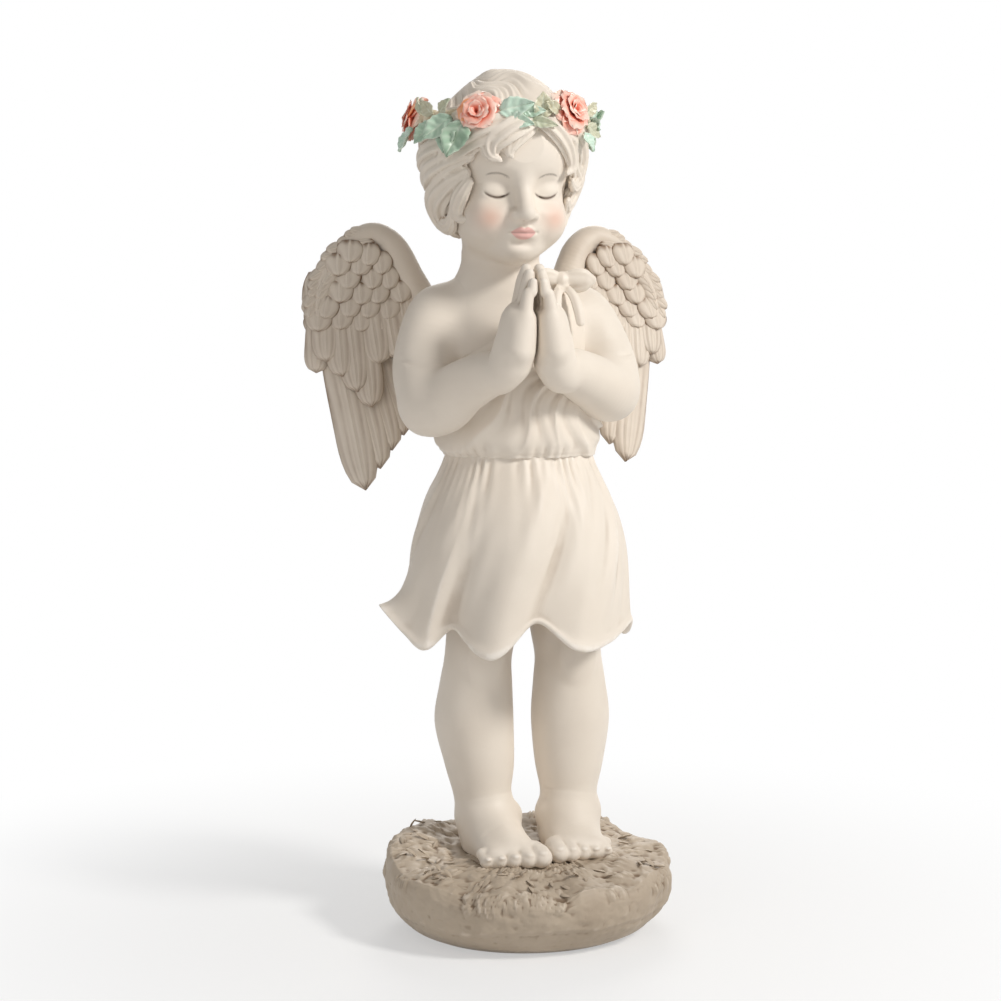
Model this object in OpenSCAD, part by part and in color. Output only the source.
// Praying cherub: a hollow cast resin garden figure, put together from separate castings.
// The origin is the middle of the flat underside. The figure faces -Y, and +Z is up.

/* [Base] */
// Width of the rock base at its widest
base_w = 184; // [164:1:220]
// Depth of the rock base at its widest
base_d = 162; // [150:1:200]
// Height of the ground that the feet stand on
base_h = 46; // [38:1:60]
// Width of the flat underside
underside_w = 132; // [110:1:140]
// Depth of the flat underside
underside_d = 116; // [100:1:130]
// Thickness of the plate that closes the underside
plate_t = 6; // [4:0.5:10]
// Width of the shell's rim around the plate
rim_w = 6; // [4:0.5:9]
// Diameter of the drain hole in the plate
drain_d = 22; // [14:1:30]
// How far the figure stands behind the middle of the base
figure_back = 25; // [10:1:35]

/* [Legs] */
// Height from the soles to the tops of the legs, inside the skirt
leg_h = 152; // [130:1:180]
// Distance between the two legs' centre lines
leg_spread = 64; // [58:1:72]
// Sideways place of the legs from the middle of the base
stance_shift = 3; // [-4:0.5:6]
// Radius of the calves
calf_r = 25.5; // [20:0.5:27]
// Radius of the ankles
ankle_r = 18.5; // [14:0.5:21]
// Length of the foot in front of the ankle
foot_reach = 58; // [48:1:66]
// Diameter of the steel rod inside each leg
rod_d = 8; // [5:0.5:10]
// How far each rod reaches into the skirt casting
rod_in_skirt = 34; // [20:1:60]

/* [Skirt] */
// Height of the skirt from the leg tops to the waist
skirt_h = 102; // [85:1:120]
// How far the hem hangs below the leg tops
hem_drop = 12; // [6:1:20]
// Width of the waist
waist_w = 96; // [86:1:104]
// Depth of the waist
waist_d = 82; // [74:1:92]
// Width of the hem, between its waves
hem_w = 137; // [127:1:152]
// Depth of the hem, between its waves
hem_d = 126; // [116:1:142]
// Number of waves around the hem
hem_waves = 7; // [5:1:12]
// Height of the waves along the hem
wave_h = 8; // [2:0.5:12]
// Depth of the folds at the hem
fold_depth = 6; // [2:0.5:9]
// How far the hem kicks out at the figure's right side
hem_kick = 20; // [0:1:24]

/* [Bodice] */
// Height of the bodice from the waist to the neck joint
torso_h = 114; // [104:1:124]
// Width of the chest
chest_w = 100; // [90:1:110]
// Depth of the chest
chest_d = 84; // [74:1:94]
// Diameter of the neck
neck_d = 54; // [46:1:58]
// Length of one loop of the shoulder bow
bow_loop_len = 19; // [15:0.5:22]
// Length of the bow's hanging tails
bow_tail_len = 24; // [18:0.5:28]
// Thickness of the bow's ribbon
bow_t = 5; // [4:0.25:6]
// Sideways lean of the chest from the middle of the base
chest_lean = -5; // [-12:0.5:4]
// Sideways lean of the neck from the middle of the base
neck_lean = -12; // [-18:0.5:0]

/* [Arms] */
// Radius of the upper arm
arm_r = 21; // [16:0.5:24]
// Radius of the wrist
wrist_r = 12; // [9:0.5:14]
// Distance between the two elbows
elbow_span = 120; // [110:1:134]
// Height of the elbows above the waist
elbow_up = 26; // [16:1:40]
// How far the praying hands stand in front of the spine
hands_forward = 78; // [70:1:90]
// Length of a hand from wrist to fingertips
hand_len = 60; // [50:1:70]
// Thickness of one hand
hand_t = 13; // [10:0.5:16]

/* [Head] */
// Height from the neck joint to the top of the hair
head_h = 126; // [118:1:136]
// Width of the skull without hair
skull_w = 84; // [78:1:92]
// Depth of the skull without hair
skull_d = 98; // [88:1:106]
// How thick the hair lies over the skull
hair_t = 8; // [6:0.5:12]
// Sideways place of the head from the middle of the base
head_lean = -13; // [-20:0.5:0]

/* [Wreath] */
// Radius of the wreath's vine ring
wreath_r = 51; // [48:0.5:58]
// Thickness of the vine
vine_d = 8; // [6:0.5:10]
// How far the wreath lies below the top of the hair
wreath_down = 34; // [28:1:40]
// Diameter of a rose
rose_d = 24; // [18:0.5:28]
// Length of a wreath leaf
leaf_len = 24; // [18:1:30]

/* [Wings] */
// Distance between the two wings' outer edges
wing_span = 246; // [226:1:266]
// Height of the wing tops above the neck joint
wing_top = 33; // [24:1:50]
// Length of the longest feather of the right wing
feather_len = 128; // [100:1:145]
// Length of the longest feather of the left wing
left_feather_len = 108; // [90:1:145]
// Thickness of a feather
feather_t = 5; // [4:0.5:7]
// Diameter of the pins that hold a wing
wing_pin_d = 6; // [4:0.5:8]

/* [Casting and fit] */
// Wall thickness of the hollow castings
wall = 7; // [5:0.5:9]
// Diameter of the dowels at the neck and the shoulders
dowel_d = 10; // [6:0.5:14]
// How far a dowel, rod or pin reaches into each casting that it joins
dowel_reach = 14; // [10:1:18]
// Gap filled with glue around dowels, rods, pins and seats
glue_gap = 0.15; // [0.1:0.05:0.3]

/* [Hidden] */

// Colours of the castings
resin = "#e9e3da";
ground = "#a89d8c";
coral = "#ee8168";
mint = "#9fd0b4";

// Heights of the stack of castings
sole_z = base_h;
leg_top_z = sole_z + leg_h;
waist_z = leg_top_z + skirt_h;
neck_z = waist_z + torso_h;
crown_z = neck_z + head_h;

// Sides of the figure: its right hand is at -X
RIGHT = -1;
LEFT = 1;

function mix(a, b, t) = a + (b - a) * t;
function unit(v) = v / norm(v);
function bell(x, width) = exp(-x * x / (width * width));

// Smooth curve through rows of numbers, with n steps between neighbours
function catmull(a, b, c, d, t) =
    (2 * b + (c - a) * t + (2 * a - 5 * b + 4 * c - d) * t * t
     + (3 * b - a - 3 * c + d) * t * t * t) / 2;
function smooth(rows, n) = [
    for (i = [0 : len(rows) - 2]) for (k = [0 : n - 1])
        catmull(rows[max(i - 1, 0)], rows[i], rows[i + 1],
                rows[min(i + 2, len(rows) - 1)], k / n),
    rows[len(rows) - 1]
];

// Middle of a ring of points
function middle(ring) = [for (axis = [0 : 2]) sum([for (p = ring) p[axis]]) / len(ring)];
function sum(list, i = 0) = i == len(list) ? 0 : list[i] + sum(list, i + 1);

// Closed solid through a stack of rings with equally many points, listed from the bottom up
module skin(rings) {
    sides = len(rings[0]);
    count = len(rings);
    points = concat([for (ring = rings) each ring], [middle(rings[0]), middle(rings[count - 1])]);
    low = count * sides;
    high = low + 1;
    walls = [
        for (i = [0 : count - 2]) for (k = [0 : sides - 1])
            let (a = i * sides + k, b = i * sides + (k + 1) % sides)
            each [[a, a + sides, b + sides], [a, b + sides, b]]
    ];
    floor = [for (k = [0 : sides - 1]) [low, k, (k + 1) % sides]];
    roof = [for (k = [0 : sides - 1])
            [high, (count - 1) * sides + (k + 1) % sides, (count - 1) * sides + k]];
    polyhedron(points, concat(walls, floor, roof), convexity = 6);
}

// Level ellipse from a row [x, y, z, half width, half depth]
function level_ring(row, sides) = [
    for (k = [0 : sides - 1])
        let (angle = 360 * k / sides)
        [row[0] + row[3] * cos(angle), row[1] + row[4] * sin(angle), row[2]]
];

// Tube along rows [x, y, z, half width, half depth], square to its path
function tube_rings(rows, side_hint, sides) = [
    for (i = [0 : len(rows) - 1])
        let (ahead = rows[min(i + 1, len(rows) - 1)], behind = rows[max(i - 1, 0)],
             along = unit([for (j = [0 : 2]) ahead[j] - behind[j]]),
             across = unit(cross(side_hint, along)), out = cross(along, across))
        [for (k = [0 : sides - 1])
            let (angle = 360 * k / sides)
            [for (j = [0 : 2])
                rows[i][j] + across[j] * rows[i][3] * cos(angle) + out[j] * rows[i][4] * sin(angle)]]
];

module tube(rows, side_hint, sides = 24, steps = 4)
    skin(tube_rings(smooth(rows, steps), side_hint, sides));

module ball_at(place, r, facets = 10) translate(place) sphere(r, $fn = facets);

module link(from, to, r_from, r_to, facets = 8)
    hull() {
        ball_at(from, r_from, facets);
        ball_at(to, r_to, facets);
    }

module in_figure() translate([0, figure_back, 0]) children();

// Rock base: an open shell with a rebate that takes the closing plate
base_sides = 44;
rock_widest = 0.7;
function rock(angle) = 1 + 0.022 * sin(3 * angle + 20) + 0.018 * sin(5 * angle + 80)
    + 0.010 * sin(11 * angle);
function base_ring(share_w, share_d, z, rough) = [
    for (k = [0 : base_sides - 1])
        let (angle = 360 * k / base_sides, lumps = mix(1, rock(angle), rough))
        [share_w * lumps * cos(angle), share_d * lumps * sin(angle), z]
];
back_bank = 9;
lump_h = 2;
lump_waves = 9;
// Big lumps behind the feet, as place across, place in depth and height
back_lumps = [[-0.337 * base_w, 0.247 * base_d, 9], [0.3 * base_w, 0.296 * base_d, 4]];
function ground_rise(x, y) =
    back_bank * max(-0.35, 2 * y / base_d) + lump_h * sin(lump_waves * atan2(y, x) + 40)
    + sum([for (lump = back_lumps) lump[2] * bell(norm([x - lump[0], y - lump[1]]), base_w * 0.12)]);
function raised(ring) = [for (p = ring) [p[0], p[1], p[2] + ground_rise(p[0], p[1])]];
stand_w = base_w / 2 - 22;
stand_d = base_d / 2 - 20;
module base_form() {
    inner_top = base_h - wall;
    skin([
        base_ring(stand_w - wall, stand_d - wall, inner_top, 0),
        base_ring(base_w / 2 - 2 * wall, base_d / 2 - 2 * wall, inner_top * rock_widest, 0),
        base_ring(underside_w / 2 - 2 * rim_w, underside_d / 2 - 2 * rim_w, plate_t + glue_gap, 0),
        base_ring(underside_w / 2 - rim_w, underside_d / 2 - rim_w, plate_t + glue_gap, 0),
        base_ring(underside_w / 2 - rim_w, underside_d / 2 - rim_w, 0, 0),
        base_ring(underside_w / 2, underside_d / 2, 0, 0),
        base_ring(mix(underside_w, base_w, 0.62) / 2, mix(underside_d, base_d, 0.62) / 2,
                  base_h * 0.2, 0.5),
        base_ring(mix(underside_w, base_w, 0.93) / 2, mix(underside_d, base_d, 0.93) / 2,
                  base_h * 0.42, 1),
        base_ring(base_w / 2, base_d / 2, base_h * rock_widest, 1),
        base_ring(base_w / 2 - 2, base_d / 2 - 2, base_h * 0.88, 1),
        raised(base_ring(base_w / 2 - 7, base_d / 2 - 7, base_h, 0.6)),
        raised(base_ring(stand_w + 5, stand_d + 4, base_h, 0.3)),
        base_ring(stand_w, stand_d, base_h, 0)
    ]);
}
module base_shell()
    color(ground) difference() {
        base_form();
        for (side = [RIGHT, LEFT]) leg_rod(side, glue_gap);
    }

module base_plate() {
    drop = rim_w + glue_gap;
    outline = [for (p = base_ring(underside_w / 2 - drop, underside_d / 2 - drop, 0, 0)) [p[0], p[1]]];
    color(ground) difference() {
        linear_extrude(plate_t) polygon(outline);
        translate([0, drain_y, -1]) cylinder(d = drain_d, h = plate_t + 2, $fn = 64);
    }
}

// Rubber stopper that closes the drain hole from below
drain_y = underside_d / 4;
plug_recess = 1;
module drain_plug() {
    neck_r = drain_d / 2 - glue_gap;
    lip_r = drain_d / 2 + 2;
    top = plate_t + glue_gap;
    color("dimgray") translate([0, drain_y, 0]) rotate_extrude($fn = 64) polygon([
        [0, plug_recess], [neck_r - 1, plug_recess], [neck_r, plug_recess + 1], [neck_r, top],
        [lip_r, top], [lip_r, top + 2], [neck_r - 2, top + 4], [0, top + 4]
    ]);
}

// Legs: each is one casting with its foot and toes
knee_r = calf_r - 4;
function leg_x(side) = stance_shift + side * leg_spread / 2;
// The right foot stands a little in front of the left one, and its ankle further in
function foot_ahead(side) = side == RIGHT ? 8 : 0;
function foot_x(side) = leg_x(side) - side * (side == RIGHT ? 9 : 3);
module leg_rod(side, gap = 0) {
    bottom = base_h - wall - 4;
    in_figure() translate([leg_x(side), 0, bottom])
        cylinder(r = rod_d / 2 + gap, h = leg_top_z + rod_in_skirt - bottom + gap, $fn = 64);
}
module leg_tube(side) {
    x = leg_x(side);
    low_x = foot_x(side);
    tube([
        [low_x, -6, sole_z, ankle_r + 1, ankle_r + 6],
        [mix(low_x, x, 0.2), -4, sole_z + 14, ankle_r + 1, ankle_r + 4],
        [mix(low_x, x, 0.4), 0, sole_z + 30, ankle_r, ankle_r + 1],
        [mix(low_x, x, 0.55), 2, sole_z + leg_h * 0.33,
         mix(ankle_r, calf_r, 0.4), mix(ankle_r, calf_r, 0.5)],
        [x, 3, sole_z + leg_h * 0.55, calf_r, calf_r],
        [x - side * 2, 1, sole_z + leg_h * 0.78, knee_r, knee_r + 1],
        [x - side * 6, 2, leg_top_z, knee_r + 0.5, knee_r + 3]
    ], [0, 1, 0], 20, 3);
}
module foot(side) {
    x = foot_x(side);
    front = -foot_reach - foot_ahead(side);
    ball = front + 17;
    turn = side * -3;
    hull() {
        ball_at([x, -4, sole_z + 14], ankle_r - 1);
        ball_at([x + turn - 8, ball, sole_z + 4], 9);
        ball_at([x + turn + 8, ball, sole_z + 5], 10);
    }
    for (i = [0 : 4]) {
        // Toe 0 is the big toe, on the inner side
        across = x + turn - side * (15 - i * 7.4);
        tip = front + 7.5 + 1.6 * i + (i == 0 ? 1 : 0);
        r = 7.4 - 0.7 * i;
        hull() {
            ball_at([across + side * 1.5, ball + 4, sole_z + 5], r);
            ball_at([across, tip, sole_z + r - 2.2], r);
        }
    }
    // Instep, heel and the two ankle bones
    link([x, -6, sole_z + 20], [x + turn, ball + 4, sole_z + 7], ankle_r - 4, 9);
    link([x, 2, sole_z + 8], [x, -8, sole_z + 6], ankle_r - 2, ankle_r - 4);
}
module leg(side)
    color(resin) difference() {
        in_figure() intersection() {
            union() {
                leg_tube(side);
                foot(side);
            }
            translate([-base_w, -base_d, sole_z]) cube([2 * base_w, 2 * base_d, leg_h]);
        }
        leg_rod(side, glue_gap);
    }

// Skirt: a bell with a floor inside it that the legs are glued to
skirt_sides = 58;
skirt_floor_t = 9;
hem_kick_angle = 186;
// Angle of the fold over the right leg, and how far the folds lean from the waist to the hem
first_fold = 241;
fold_lean = 26;
// Share of the fall in which the bell opens out
bell_share = 0.29;
function fold_wave(angle) = cos(hem_waves * (angle - first_fold));
function side_kick(angle) =
    let (away = abs(((angle - hem_kick_angle + 540) % 360) - 180))
    hem_kick * bell(away, 28);
// Point on the skirt at a share of its fall, 0 at the waist and 1 at the hem, moved in by inset
function skirt_point(angle, fall, inset, hem_level) =
    let (flare = 1 - exp(-pow(fall / bell_share, 1.5)), kick = pow(fall, 4),
         w = mix(waist_w / 2, hem_w / 2, flare), d = mix(waist_d / 2, hem_d / 2, flare),
         fold_angle = angle - fold_lean * (1 - fall),
         folds = fold_depth * pow(fall, 1.4) * fold_wave(fold_angle) + side_kick(fold_angle) * kick,
         lift = (side_kick(angle) * 1.3 - wave_h * fold_wave(angle)) * kick * hem_level)
    [(w - inset + folds) * cos(angle), (d - inset + folds) * sin(angle),
     mix(waist_z, leg_top_z - hem_drop, fall) + lift];
function skirt_ring(fall, inset, hem_level = 1) =
    [for (k = [0 : skirt_sides - 1]) skirt_point(360 * k / skirt_sides, fall, inset, hem_level)];
function at_height(ring, z) = [for (p = ring) [p[0], p[1], z]];
skirt_fall = skirt_h + hem_drop;
function fall_at(z) = (waist_z - z) / skirt_fall;
module skirt_form() {
    floor_top = leg_top_z + skirt_floor_t;
    hem_edge = 4;
    skin(concat(
        [at_height(skirt_ring(fall_at(leg_top_z), wall + 2), leg_top_z)],
        [skirt_ring(fall_at(leg_top_z - hem_drop * 0.55), wall, 1),
         skirt_ring(1, hem_edge)],
        [for (fall = [1, 0.93, 0.85, 0.75, 0.64, 0.5, 0.36, 0.22, 0.1, 0.04, 0]) skirt_ring(fall, 0)],
        [at_height(skirt_ring(0, wall), waist_z),
         skirt_ring(0.3, wall),
         at_height(skirt_ring(fall_at(floor_top), wall), floor_top)]
    ));
}
module skirt()
    color(resin) in_figure() difference() {
        skirt_form();
        translate([0, -figure_back, 0]) for (side = [RIGHT, LEFT]) leg_rod(side, glue_gap);
    }

// Bodice: blouses over the waist, carries the arms, the head and the wings
torso_sides = 34;
function torso_rows(grow) = [
    [0, 0, waist_z, waist_w / 2 + grow, waist_d / 2 + grow],
    [-0.5, 0, waist_z + 3, waist_w / 2 + 3 + grow, waist_d / 2 + 3 + grow],
    [-1, -1, waist_z + 12, chest_w / 2 + 3 + grow, chest_d / 2 + 3 + grow],
    [chest_lean * 0.6, -1, waist_z + torso_h * 0.32, chest_w / 2 + grow, chest_d / 2 + 2 + grow],
    [chest_lean, 0, waist_z + torso_h * 0.52, chest_w / 2 - 1 + grow, chest_d / 2 + grow],
    [chest_lean, 2, waist_z + torso_h * 0.70, chest_w / 2 + grow, chest_d / 2 - 4 + grow],
    [chest_lean - 1, 2, waist_z + torso_h * 0.82, chest_w / 2 - 2 + grow, chest_d / 2 - 9 + grow],
    [mix(chest_lean, neck_lean, 0.5), 2, waist_z + torso_h * 0.91,
     chest_w / 2 - 10 + grow, mix(chest_d, neck_d, 0.75) / 2 + grow],
    [neck_lean, 0, neck_z, neck_d / 2 + grow, neck_d / 2 + grow]
];
module torso_solid(grow = 0)
    skin([for (row = smooth(torso_rows(grow), 2)) level_ring(row, torso_sides)]);
function hollow_row(row, z) = [row[0], row[1], z, row[3] - wall, row[4] - wall];
module torso_shell() {
    rows = torso_rows(0);
    outside = [for (row = smooth(rows, 2)) level_ring(row, torso_sides)];
    inside = [
        level_ring(hollow_row(rows[6], rows[6][2] - wall), torso_sides),
        level_ring(hollow_row(rows[5], rows[5][2] - wall), torso_sides),
        level_ring(hollow_row(rows[4], rows[4][2]), torso_sides),
        level_ring(hollow_row(rows[3], rows[3][2]), torso_sides),
        level_ring(hollow_row(rows[0], waist_z), torso_sides)
    ];
    skin(concat(inside, outside));
}

// Flat seats on the back, one for each wing
wing_root_x = 24;
wing_root_z = neck_z - 29;
seat_w = 18;
seat_h = 40;
seat_y = chest_d / 2 + 1;
module wing_seat(side)
    translate([chest_lean + side * wing_root_x - seat_w / 2, seat_y - 26, wing_root_z - seat_h / 2])
        cube([seat_w, 26, seat_h]);
module wing_pins(side, gap = 0)
    in_figure() for (up = [-1, 1])
        translate([chest_lean + side * wing_root_x, seat_y, wing_root_z + up * seat_h / 4])
            rotate([90, 0, 0])
                cylinder(r = wing_pin_d / 2 + gap, h = 2 * (dowel_reach - 4) + 2 * gap,
                         center = true, $fn = 48);

module bodice()
    color(resin) difference() {
        in_figure() union() {
            torso_shell();
            for (side = [RIGHT, LEFT]) wing_seat(side);
        }
        neck_dowel_solid(glue_gap);
        for (side = [RIGHT, LEFT]) {
            arm_dowel(side, glue_gap);
            wing_pins(side, glue_gap);
        }
    }

// Dowel between the neck and the head
module neck_dowel_solid(gap = 0)
    in_figure() translate([neck_lean, 0, neck_z - dowel_reach - gap])
        cylinder(r = dowel_d / 2 + gap, h = 2 * (dowel_reach + gap), $fn = 64);

// Arms: shoulder, elbow and wrist of each side
function shoulder(side) = [chest_lean + side * (chest_w / 2 + 1), 3, waist_z + torso_h * 0.69];
function elbow(side) = [chest_lean + side * elbow_span / 2, -22, waist_z + elbow_up];
palm_x = chest_lean - 5;
function wrist(side) = [palm_x + side * (hand_t + 1), -0.872 * hands_forward,
                         waist_z + elbow_up + hand_len * 0.517];
module arm_dowel(side, gap = 0)
    in_figure() translate(shoulder(side)) rotate([0, 90, 0])
        translate([0, 0, -side * 4])
            cylinder(r = dowel_d / 2 + gap, h = 2 * (dowel_reach + gap), center = true, $fn = 64);
// Upper arm and forearm meet in the rounded elbow
module arm_tubes(side) {
    s = shoulder(side);
    e = elbow(side);
    w = wrist(side);
    bend = [0.8, -side * 0.56, side * 0.2];
    tube([
        [s[0] - side * 12, s[1], s[2] + 11, arm_r - 10, arm_r - 10],
        [s[0] - side * 3, s[1], s[2] + 7, arm_r - 2, arm_r - 2],
        [mix(s[0], e[0], 0.45) + side * 1.5, mix(s[1], e[1], 0.4), mix(s[2], e[2], 0.45), arm_r, arm_r],
        [e[0] - side * 1, e[1] + 1, e[2] + 4, arm_r - 3, arm_r - 3],
        [e[0] - side * 1, e[1], e[2] - 6, arm_r - 8, arm_r - 8]
    ], bend, 16, 2);
    tube([
        [e[0] + side * 3, e[1] + 3, e[2] - 2, arm_r - 9, arm_r - 9],
        [e[0] - side * 5, e[1] - 6, e[2] + 1, arm_r - 3.5, arm_r - 3.5],
        [mix(e[0], w[0], 0.5), mix(e[1], w[1], 0.5), mix(e[2], w[2], 0.42), arm_r - 5, arm_r - 5],
        [w[0] + side * 3, w[1] + 3, w[2] - 7, wrist_r, wrist_r],
        [w[0], w[1] - 2, w[2] + 6, wrist_r - 2, wrist_r - 1]
    ], bend, 16, 2);
}
// Hand with its palm on the plane x = palm_x and its fingers pointing up
module hand(side) {
    out = palm_x + side * hand_t / 2;
    low = wrist(side)[2];
    y = wrist(side)[1] - 3;
    knuckle_z = low + hand_len * 0.52;
    hull() {
        ball_at([palm_x + side * hand_t * 0.8, y, low + 4], hand_t / 2 + 4);
        ball_at([out, y - 8, knuckle_z], hand_t / 2 + 0.5);
        ball_at([out, y + 8, knuckle_z - 4], hand_t / 2 + 1);
    }
    for (i = [0 : 3]) {
        finger_y = y - 10.5 + 7 * i;
        r = 4.4 - 0.25 * abs(i - 1);
        bend_z = low + hand_len * (0.76 - 0.03 * abs(i - 1));
        tip_z = low + hand_len - r - 3.5 * abs(i - 1);
        link([out, finger_y, knuckle_z - 2], [out, finger_y, bend_z], r + 1, r);
        link([out, finger_y, bend_z], [palm_x + side * r, finger_y, tip_z], r, r - 0.8);
    }
    // Thumb along the side that faces the chest
    thumb_bend = [palm_x + side * hand_t * 0.46, y + hand_len * 0.25, low + hand_len * 0.45];
    thumb_tip = [palm_x + side * hand_t * 0.35, y + hand_len * 0.233, low + hand_len * 0.617];
    link([out, y + hand_len * 0.15, low + hand_len * 0.2], thumb_bend, hand_t * 0.46, hand_t * 0.385);
    link(thumb_bend, thumb_tip, hand_t * 0.385, hand_t * 0.31);
}
module arm_form(side)
    intersection() {
        union() {
            arm_tubes(side);
            hand(side);
        }
        // Everything on this side of the plane between the palms
        translate([palm_x + (side == LEFT ? glue_gap / 2 : -wing_span - glue_gap / 2), -wing_span, 0])
            cube([wing_span, 2 * wing_span, crown_z]);
    }
module arm(side)
    color(resin) difference() {
        in_figure() difference() {
            arm_form(side);
            torso_solid(glue_gap);
        }
        arm_dowel(side, glue_gap);
    }

// Bow of the shoulder strap, on the left shoulder
bow_at = [chest_lean + chest_w * 0.32, -chest_d * 0.214, waist_z + torso_h * 0.939];
module bow_loop(side)
    for (layer = [0, 1])
        hull() {
            ball_at(bow_at, bow_t * 0.55, 8);
            ball_at(bow_at + bow_loop_len * [side * 0.68, 0.26 * layer - 0.16, 0.2 - 0.16 * layer],
                    bow_t * (0.8 - 0.2 * layer), 8);
            ball_at(bow_at + bow_loop_len * [side, -0.1, 0], bow_t * 0.48, 8);
        }
// A tail bends over the front of the shoulder
module bow_tail(side) {
    bend = bow_at + bow_tail_len * [side * 0.25, -0.46, -0.42];
    link(bow_at, bend, bow_t * 0.52, bow_t * 0.6, 8);
    link(bend, bow_at + bow_tail_len * [side * 0.33, -0.7, -1], bow_t * 0.6, bow_t * 0.48, 8);
}
module shoulder_bow()
    color(resin) in_figure() difference() {
        union() {
            for (side = [RIGHT, LEFT]) {
                bow_loop(side);
                bow_tail(side);
            }
            link(bow_at - [0, bow_t * 0.4, 0], bow_at + [0, bow_t * 0.4, 0], bow_t, bow_t * 0.9, 10);
        }
        torso_solid(glue_gap);
        arm_form(LEFT);
    }

// Head: face, ears and neck in one hollow casting
head_sides = 30;
// Each row: place in depth, share of the head's height, shares of the skull's width and depth
head_shares = [
    [-14, 0.135, 0.335, 0.43], [-14, 0.246, 0.405, 0.48], [-13, 0.365, 0.455, 0.5],
    [-10, 0.524, 0.5, 0.5], [-7, 0.683, 0.465, 0.48], [-5, 0.794, 0.355, 0.367]
];
function head_rows(grow) = [
    [neck_lean, 0, neck_z, neck_d / 2 + grow, neck_d / 2 + grow],
    [head_lean, -9, neck_z + head_h * 0.055, neck_d / 2 + grow, neck_d * 0.7 + grow],
    for (row = head_shares)
        [head_lean, row[0], neck_z + head_h * row[1], skull_w * row[2] + grow, skull_d * row[3] + grow],
    [head_lean, -4, crown_z - hair_t - 6 + grow * 0.6,
     skull_w * 0.227 + grow * 0.8, skull_d * 0.225 + grow * 0.8],
    [head_lean, -4, crown_z - hair_t + grow, 6 + grow * 0.4, 6 + grow * 0.4]
];
nose_z = neck_z + head_h * 0.286;
nose_out = head_h * 0.0635;
nose_h = head_h * 0.0555;
// Half the angle that the nose takes up on the face
nose_angle = 9;
function nose(angle, z) =
    nose_out * bell(((angle + 90 + 540) % 360) - 180, nose_angle) * bell(z - nose_z, nose_h);
function face_ring(row) = [
    for (k = [0 : head_sides - 1])
        let (angle = 360 * k / head_sides)
        [row[0] + row[3] * cos(angle),
         row[1] + row[4] * sin(angle) - nose(angle, row[2]), row[2]]
];
module head_solid(grow = 0, steps = 2)
    skin([for (row = smooth(head_rows(grow), steps)) face_ring(row)]);
// The crown is open, and the hair casting closes it
module head_shell() {
    rows = head_rows(0);
    rim = len(rows) - 2;
    outside = [for (row = smooth([for (i = [0 : rim]) rows[i]], 2)) face_ring(row)];
    inside = [for (i = [rim : -1 : 4]) level_ring(hollow_row(rows[i], rows[i][2]), head_sides)];
    bottom = [neck_lean, -4, neck_z + dowel_reach + wall, neck_d / 2 - wall, neck_d / 2 - wall];
    skin(concat(outside, inside, [level_ring(bottom, head_sides)]));
}
module head()
    color(resin) difference() {
        in_figure() head_shell();
        neck_dowel_solid(glue_gap);
    }

// Hair: a cap over the skull with hanging locks, hollowed to sit on the head
head_y = -8;
hairline_tilt = 33;
lock_r = 10;
fringe_r = 6;
function on_head(azimuth, out, z) =
    [head_lean + (skull_w / 2 + out) * sin(azimuth), head_y - (skull_d / 2 + out) * cos(azimuth), z];
module lock(azimuth, side, top, low, grow) {
    bend = on_head(side * (azimuth + 5), 2, mix(top, low, 0.5));
    link(on_head(side * azimuth, 1, top), bend, lock_r + grow, lock_r + 1 + grow, 8);
    link(bend, on_head(side * (azimuth - 4), -5, low), lock_r + 1 + grow, lock_r - 3 + grow, 8);
}
// Combed ridges that fan out from the parting on the crown
hair_sides = 34;
comb_h = 2;
comb_ridges = 8;
parting = [head_lean - skull_w * 0.286, -4];
function comb(x, y) = comb_h * cos(comb_ridges * atan2(y - parting[1], x - parting[0]) - 65);
function combed_ring(row) = [
    for (k = [0 : hair_sides - 1])
        let (angle = 360 * k / hair_sides,
             ridge = comb(row[0] + row[3] * cos(angle), row[1] + row[4] * sin(angle)))
        [row[0] + (row[3] + ridge) * cos(angle), row[1] + (row[4] + ridge) * sin(angle), row[2]]
];
module hair_form(grow = 0) {
    intersection() {
        skin([for (row = smooth(head_rows(hair_t + grow), 1)) combed_ring(row)]);
        translate([0, head_y, neck_z + head_h * 0.39]) rotate([-hairline_tilt, 0, 0])
            translate([-skull_d, -skull_d, -grow]) cube(2 * skull_d);
    }
    for (side = [RIGHT, LEFT]) {
        for (azimuth = [77 : 31 : 170])
            lock(azimuth, side, neck_z + head_h * 0.6, neck_z + head_h * 0.27, grow);
        // Curls of the parted fringe, which start below the vine
        fringe_z = wreath_z - vine_d * 0.65 - fringe_r;
        fringe = on_head(side * 26, 3, fringe_z - head_h * 0.05);
        temple = on_head(side * 44, 3, fringe_z - head_h * 0.13);
        link(on_head(side * 8, 1, fringe_z), fringe, fringe_r + grow, fringe_r + 1 + grow, 8);
        link(fringe, temple, fringe_r + 1 + grow, fringe_r + 1 + grow, 8);
    }
}
module hair()
    color(resin) difference() {
        in_figure() difference() {
            hair_form();
            head_solid(glue_gap);
        }
        vine_groove();
    }

// Wreath: a vine ring that lies in a groove of the hair, with roses and leaves glued on it
wreath_z = crown_z - wreath_down;
module at_wreath(azimuth)
    in_figure() translate([head_lean, head_y, wreath_z]) rotate([0, 0, azimuth]) children();
module wreath_vine()
    color("#a99a78") at_wreath(0)
        rotate_extrude($fn = 96) translate([wreath_r, 0]) circle(d = vine_d, $fn = 32);
// Groove for the vine: a coarse ring that stands clear of the vine all the way around
groove_sides = 32;
groove_facets = 8;
module vine_groove() {
    clear_ring = (wreath_r + vine_d / 2 + glue_gap) / cos(180 / groove_sides) - wreath_r;
    at_wreath(0) rotate_extrude($fn = groove_sides)
        translate([wreath_r, 0]) circle(r = clear_ring / cos(180 / groove_facets), $fn = groove_facets);
}

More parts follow.
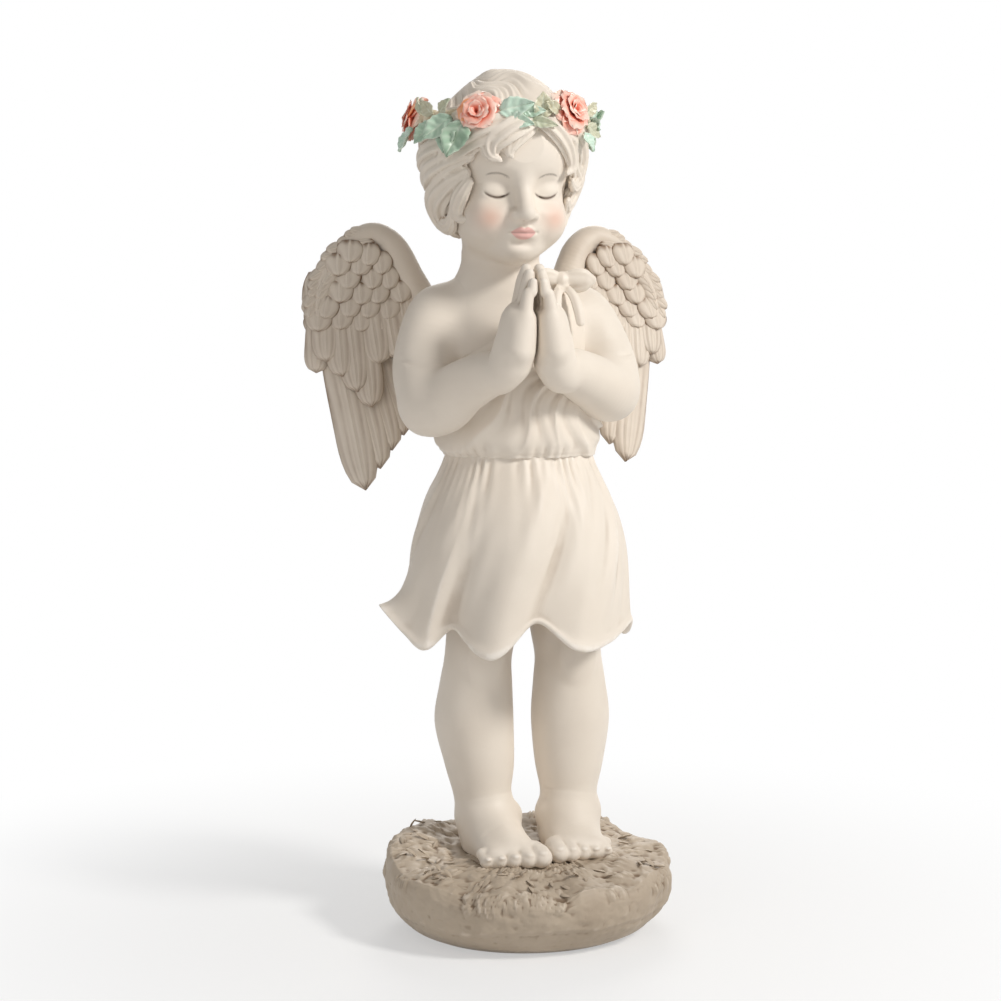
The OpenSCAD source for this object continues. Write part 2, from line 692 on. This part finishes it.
// Roses stand at even steps, starting from the one beside the brow
rose_count = 5;
rose_step = 360 / rose_count;
rose_start = -33;
rose_r = rose_d / 2;
rose_tilt = 20;
module petal(reach, up, r)
    hull() {
        ball_at([reach * 0.45, 0, 1], r, 6);
        for (k = [-1, 1]) ball_at([reach - r, k * reach * 0.34, up], r, 6);
    }
module rose_form() {
    for (i = [0 : 4]) rotate([0, 0, 72 * i]) petal(rose_r, rose_r * 0.45, 2.2);
    for (i = [0 : 2]) rotate([0, 0, 120 * i + 30]) petal(rose_r * 0.68, rose_r * 0.75, 2);
    link([0, 0, 3], [0, 0, rose_r * 0.85], 5.5, 3, 6);
}
module rose_at(i)
    at_wreath(rose_start + i * rose_step) translate([0, -wreath_r - vine_d * 0.4, 2])
        rotate([90 - rose_tilt, 0, 0]) rose_form();
module rose(i)
    color(coral) difference() {
        rose_at(i);
        vine_groove();
        in_figure() hair_form(glue_gap);
    }

// Leaves: one on each side of every rose, one turned up and the next turned down
leaf_from_rose = 18;
leaf_turn = 32;
module leaf_form()
    for (half = [-1, 1])
        hull() {
            ball_at([0, 0, 0], leaf_len * 0.067, 5);
            ball_at(leaf_len * [0.42, half * 0.24, 0.063], leaf_len * 0.05, 5);
            ball_at(leaf_len * [0.42, 0, -0.02], leaf_len * 0.058, 5);
            ball_at(leaf_len * [0.96, 0, 0.063], leaf_len * 0.038, 5);
        }
module wreath_leaf(i, side)
    at_wreath(rose_start + i * rose_step + side * leaf_from_rose)
        translate([0, -wreath_r - vine_d / 2, 0]) rotate([90, 0, 0])
            rotate([0, 0, side > 0 ? -leaf_turn : 180 - leaf_turn]) leaf_form();
module wreath_leaves()
    color(mint) difference() {
        for (i = [0 : rose_count - 1]) for (side = [-1, 1]) wreath_leaf(i, side);
        vine_groove();
        in_figure() hair_form(glue_gap);
    }

// Wings: rows of feathers under a rounded arm, with a pad that is pinned to the back
wing_reach = wing_span / 2 - wing_root_x;
wing_rise = neck_z + wing_top - wing_root_z;
wing_sweep = 5;
wing_tilt = -13;
// Each feather has root and tip as shares of the wing's reach, of its rise and of the feather length
flight_feathers = [
    [0.85, 0.28, 0.94, 0.43, 18], [0.80, 0.18, 0.66, 1, 22], [0.72, 0.18, 0.56, 0.87, 22],
    [0.63, 0.22, 0.46, 0.76, 22], [0.53, 0.24, 0.37, 0.67, 21], [0.42, 0.22, 0.28, 0.60, 20],
    [0.30, 0.16, 0.20, 0.53, 18]
];
cover_feathers = [
    [0.86, 0.36, 0.91, 0.27, 16], [0.76, 0.42, 0.76, 0.44, 18], [0.64, 0.48, 0.63, 0.50, 18],
    [0.52, 0.52, 0.49, 0.50, 18], [0.40, 0.48, 0.36, 0.46, 17], [0.28, 0.36, 0.25, 0.38, 16]
];
arm_line = [[0, 0, 9], [0.2, 0.1, 11], [0.38, 0.42, 12], [0.46, 0.79, 13], [0.66, 0.74, 11],
            [0.86, 0.44, 8], [0.93, 0.10, 5]];
module feather(row, t, longest) {
    root = [row[0] * wing_reach, row[1] * wing_rise];
    tip = [row[2] * wing_reach, root[1] - row[3] * longest];
    drop = norm(tip - root);
    translate([root[0], 0, root[1]])
        rotate([0, atan2(root[0] - tip[0], root[1] - tip[1]), 8])
            hull() for (station = [[0, 0.34], [0.6, 0.5], [1, 0.26]])
                translate([0, 0, -drop * station[0] + (station[0] == 1 ? row[4] * 0.26 : 0)])
                    rotate([90, 0, 0]) cylinder(h = t, r = row[4] * station[1], center = true, $fn = 12);
}
module wing_form(longest) {
    translate([wing_root_x, seat_y + 9, wing_root_z]) rotate([wing_tilt, 0, wing_sweep]) {
        for (row = flight_feathers) feather(row, feather_t, longest);
        for (row = cover_feathers) feather(row, feather_t + 5, longest);
        for (i = [0 : len(arm_line) - 2])
            let (a = arm_line[i], b = arm_line[i + 1])
            link([a[0] * wing_reach, 0, a[1] * wing_rise], [b[0] * wing_reach, 0, b[1] * wing_rise],
                 a[2], b[2], 12);
    }
    hull() {
        translate([wing_root_x - seat_w / 2, seat_y + glue_gap, wing_root_z - seat_h / 2])
            cube([seat_w, 12, seat_h]);
        ball_at([wing_root_x + 4, seat_y + 12, wing_root_z], 9, 12);
    }
}
module wing(side)
    color(resin) difference() {
        in_figure() intersection() {
            translate([chest_lean, 0, 0]) mirror([side == RIGHT ? 1 : 0, 0, 0])
                wing_form(side == RIGHT ? feather_len : left_feather_len);
            // Nothing of a wing reaches in front of its seat beside the bodice
            union() {
                translate([-wing_span, seat_y + glue_gap, 0]) cube([2 * wing_span, wing_span, crown_z]);
                translate([side == RIGHT ? chest_lean - wing_span : chest_lean + chest_w / 2, 0, 0])
                    cube([wing_span - (side == RIGHT ? chest_w / 2 : 0), wing_span, crown_z]);
            }
        }
        wing_pins(side, glue_gap);
    }

base_shell();
base_plate();
drain_plug();
leg(RIGHT);  // right_leg
leg(LEFT);  // left_leg
color("silver") leg_rod(RIGHT);  // right_leg_rod
color("silver") leg_rod(LEFT);  // left_leg_rod
skirt();
bodice();
shoulder_bow();
arm(RIGHT);  // right_arm
arm(LEFT);  // left_arm
color("burlywood") arm_dowel(RIGHT);  // right_arm_dowel
color("burlywood") arm_dowel(LEFT);  // left_arm_dowel
color("burlywood") neck_dowel_solid();  // neck_dowel
head();
hair();
wreath_vine();
rose(0);  // rose_front
rose(1);  // rose_right
rose(2);  // rose_back_right
rose(3);  // rose_back_left
rose(4);  // rose_left
wreath_leaves();
wing(RIGHT);  // right_wing
wing(LEFT);  // left_wing
color("silver") wing_pins(RIGHT);  // right_wing_pins
color("silver") wing_pins(LEFT);  // left_wing_pins
